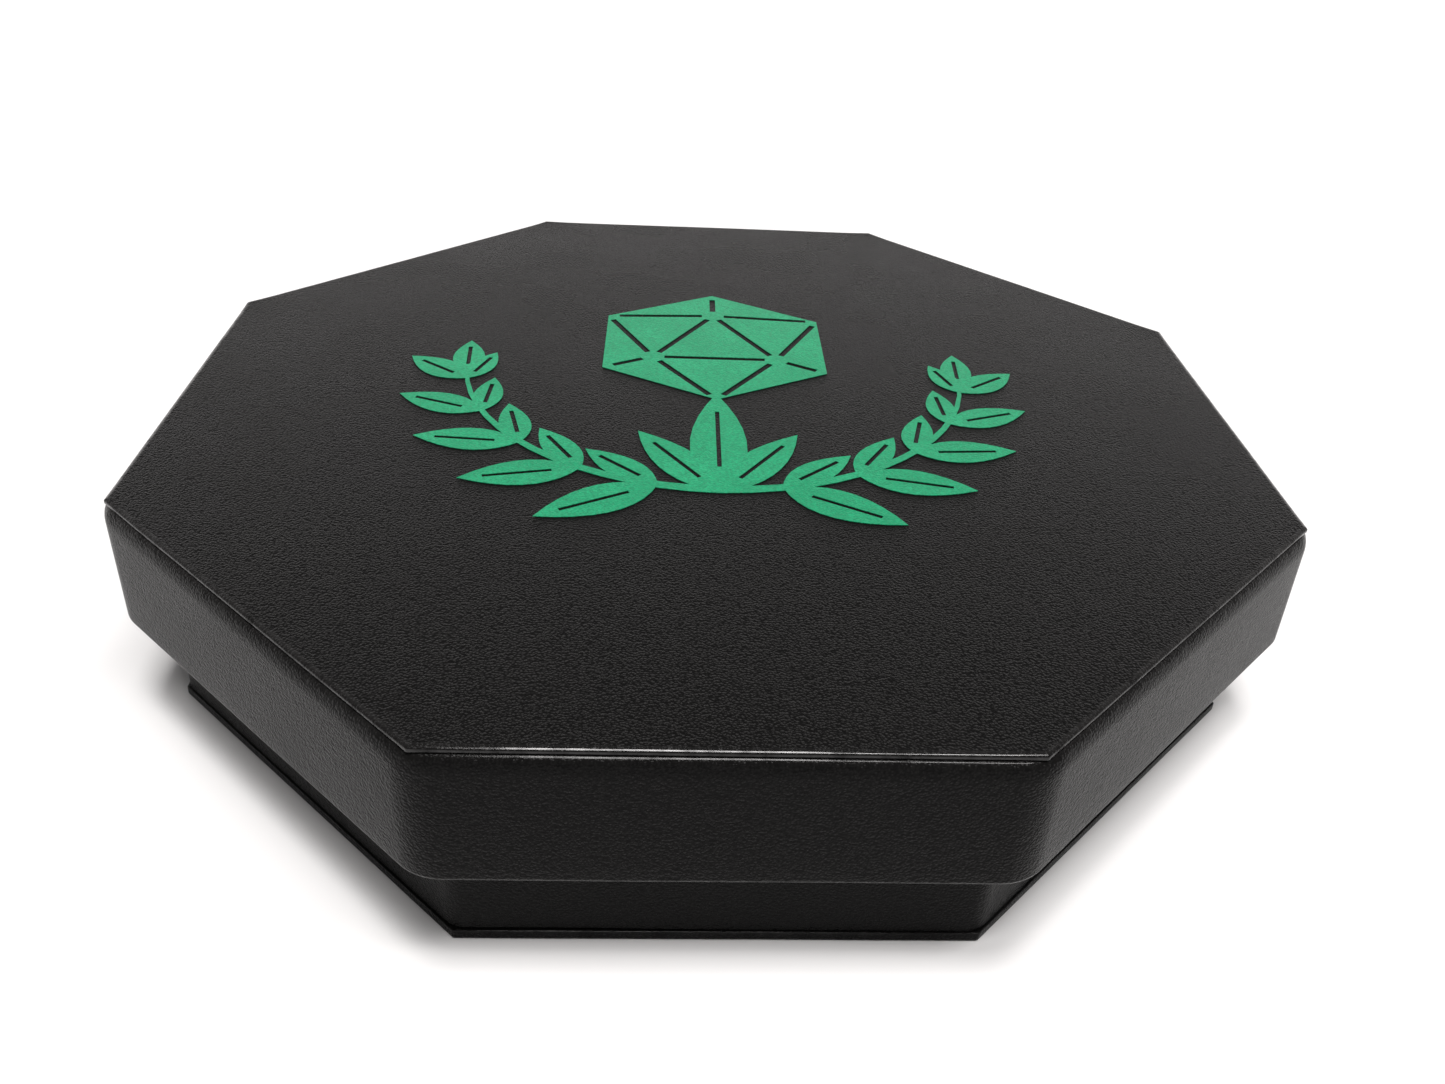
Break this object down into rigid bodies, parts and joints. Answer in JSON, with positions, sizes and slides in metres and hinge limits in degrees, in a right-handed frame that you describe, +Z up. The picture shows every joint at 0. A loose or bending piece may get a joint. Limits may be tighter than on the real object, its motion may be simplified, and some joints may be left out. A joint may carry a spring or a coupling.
{
  "type": "lidded octagonal dice tray",
  "caption": "Octagonal black leatherette dice tray box with a lift-off telescoping lid, a padded velvet rolling area and a raised dice channel round it.",
  "frame": {"origin": "centre of the underside, on the surface the box stands on", "axes": "+Z up through the lid, along the octagon's axis; -Y is the normal of the front flat side, and the emblem reads upright seen from -Y"},
  "size_m": [0.271, 0.271, 0.0567],
  "materials": {
    "leatherette": "fine pebble-grained black polyurethane leatherette, satin",
    "greyboard": "uncoated grey pressed board",
    "velvet": "short-pile black velvet",
    "foam": "closed-cell foam sheet, charcoal",
    "green_film": "matte green transfer film, slightly mottled by the grain beneath"
  },
  "bodies": {
    "base": {"base_board_cover": "leatherette", "base_board": "greyboard", "base_wall_cover": "leatherette", "base_wall_board": "greyboard", "base_wall_velvet": "velvet", "divider_velvet": "velvet", "divider_board": "greyboard", "staging_velvet": "velvet", "staging_riser": "foam", "rolling_pad_velvet": "velvet", "rolling_pad_foam": "foam", "rolling_pad_board": "greyboard"},
    "lid": {"lid_panel_cover": "leatherette", "lid_panel_board": "greyboard", "lid_wall_cover": "leatherette", "lid_wall_board": "greyboard", "lid_top_board": "greyboard", "lid_ceiling_velvet": "velvet", "lid_wall_velvet": "velvet", "lid_emblem": "green_film"}
  },
  "joints": [
    {"name": "lid_lift", "type": "slide", "parent": "base", "child": "lid", "axis": [0, 0, 1], "range_m": [0, 0.12]}
  ]
}
